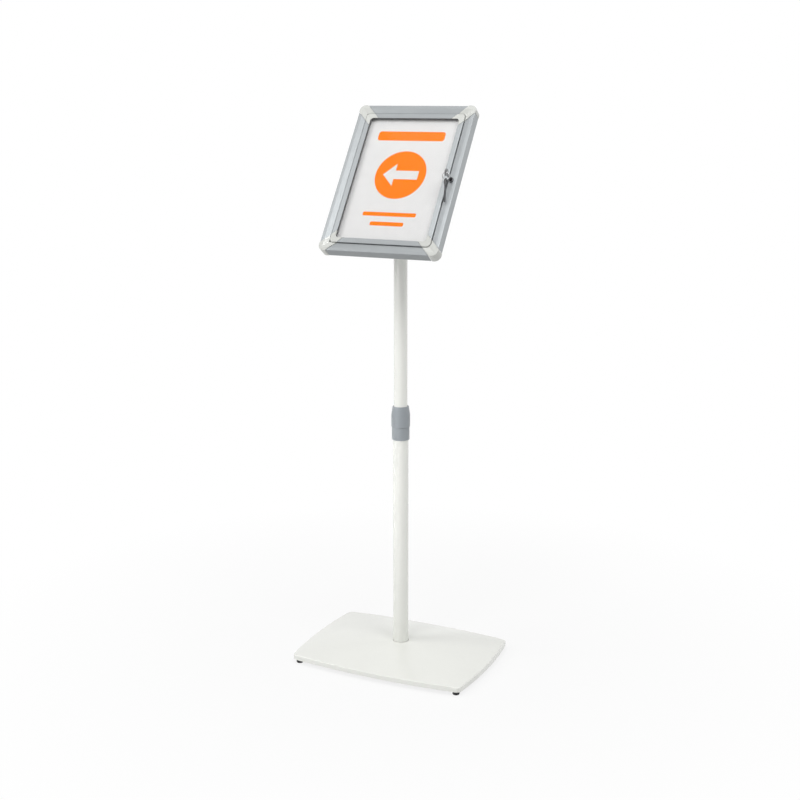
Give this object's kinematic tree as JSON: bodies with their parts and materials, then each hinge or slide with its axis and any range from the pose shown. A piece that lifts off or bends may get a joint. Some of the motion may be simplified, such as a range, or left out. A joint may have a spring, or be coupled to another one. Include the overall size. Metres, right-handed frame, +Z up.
{
  "type": "lockable display stand",
  "caption": "Floor stand with a leaned, lockable sheet frame on a telescopic column and a crowned, weighted base.",
  "frame": {"origin": "on the floor, under the column axis, at the middle of the base", "axes": "+Z up along the column, -Y towards the reader in front of the display, +X to the reader's right"},
  "size_m": [0.412, 0.296, 1.1832],
  "materials": {
    "white_coat": "semi-gloss white powder coat",
    "ballast_steel": "black primed steel",
    "foot_rubber": "matt black rubber",
    "zinc_steel": "bright zinc plate",
    "grey_plastic": "satin moulded plastic",
    "nylon": "natural nylon",
    "dark_plastic": "fine textured moulding",
    "bracket_coat": "white powder coat",
    "satin_aluminium": "satin anodised",
    "white_plastic": "smooth white moulding",
    "panel_plastic": "rigid plastic sheet",
    "printed_paper": "matt coated paper, printed",
    "clear_pane": "clear acrylic sheet",
    "lock_chrome": "nickel and chrome plate"
  },
  "bodies": {
    "base": {"base_cover": "white_coat", "base_plate": "ballast_steel", "base_feet": "foot_rubber", "foot_screws": "zinc_steel", "column_socket": "ballast_steel", "column_plug": "zinc_steel", "column_washer": "zinc_steel", "column_bolt": "zinc_steel", "lower_tube": "white_coat", "collar_sleeve": "grey_plastic", "clamp_collet": "nylon"},
    "clamp": {"clamp_nut": "grey_plastic"},
    "mast": {"upper_tube": "white_coat", "guide_bush": "nylon", "head_knuckle": "dark_plastic", "tilt_washers": "nylon", "tilt_bolt": "zinc_steel"},
    "tilt_handle": {"tilt_knob": "dark_plastic"},
    "bracket": {"tilt_bracket": "bracket_coat"},
    "display": {"swivel_pad": "nylon", "swivel_washer": "zinc_steel", "swivel_nut": "zinc_steel", "swivel_bolt": "zinc_steel", "mount_plate": "bracket_coat", "mount_screws": "zinc_steel", "frame_rail_top": "satin_aluminium", "frame_rail_bottom": "satin_aluminium", "frame_rail_left": "satin_aluminium", "frame_rail_right": "satin_aluminium", "frame_corners": "white_plastic", "hinge_pins": "zinc_steel", "back_panel": "panel_plastic", "insert_sheet": "printed_paper", "lock_barrel": "lock_chrome"},
    "door": {"door_rail_top": "satin_aluminium", "door_rail_bottom": "satin_aluminium", "door_rail_left": "satin_aluminium", "door_rail_right": "satin_aluminium", "door_corners": "white_plastic", "door_pane": "clear_pane", "pane_gasket": "foot_rubber"},
    "lock_core": {"lock_plug": "lock_chrome", "lock_cam": "zinc_steel", "cam_clip": "zinc_steel"},
    "inserted_key": {"key": "lock_chrome"},
    "split_ring": {"key_ring": "lock_chrome"},
    "hanging_key": {"spare_key": "lock_chrome"}
  },
  "joints": [
    {"name": "height_slide", "type": "slide", "parent": "base", "child": "mast", "axis": [0, 0, 1], "range_m": [-0.225, 0.19]},
    {"name": "clamp_twist", "type": "hinge", "parent": "base", "child": "clamp", "pos_m": [0, 0, 0.54], "axis": [0, 0, 1], "range_deg": [0, 120]},
    {"name": "tilt", "type": "hinge", "parent": "mast", "child": "bracket", "pos_m": [0, 0, 0.99128], "axis": [1, 0, 0], "range_deg": [-45, 35]},
    {"name": "tilt_knob_turn", "type": "hinge", "parent": "mast", "child": "tilt_handle", "pos_m": [0, 0, 0.99128], "axis": [-1, 0, 0], "range_deg": [0, 180]},
    {"name": "display_swivel", "type": "hinge", "parent": "bracket", "child": "display", "pos_m": [0, -0.00408, 1.03401], "axis": [0, -0.8164, 0.5774], "range_deg": [0, 90]},
    {"name": "door_swing", "type": "hinge", "parent": "display", "child": "door", "pos_m": [-0.1069, -0.01192, 1.03955], "axis": [0, -0.5774, -0.8164], "range_deg": [0, 90]},
    {"name": "lock_turn", "type": "hinge", "parent": "display", "child": "lock_core", "pos_m": [0.1181, -0.00523, 1.03237], "axis": [0, -0.8164, 0.5774], "range_deg": [0, 90]},
    {"name": "key_pull", "type": "slide", "parent": "lock_core", "child": "inserted_key", "axis": [0, -0.8164, 0.5774], "range_m": [0, 0.02]},
    {"name": "ring_swing", "type": "hinge", "parent": "inserted_key", "child": "split_ring", "pos_m": [0.1181, -0.04205, 1.05721], "axis": [1, 0, 0], "range_deg": [-45, 0]},
    {"name": "spare_key_swing", "type": "hinge", "parent": "split_ring", "child": "hanging_key", "pos_m": [0.1181, -0.04205, 1.04251], "axis": [1, 0, 0], "range_deg": [-50, 0]}
  ]
}
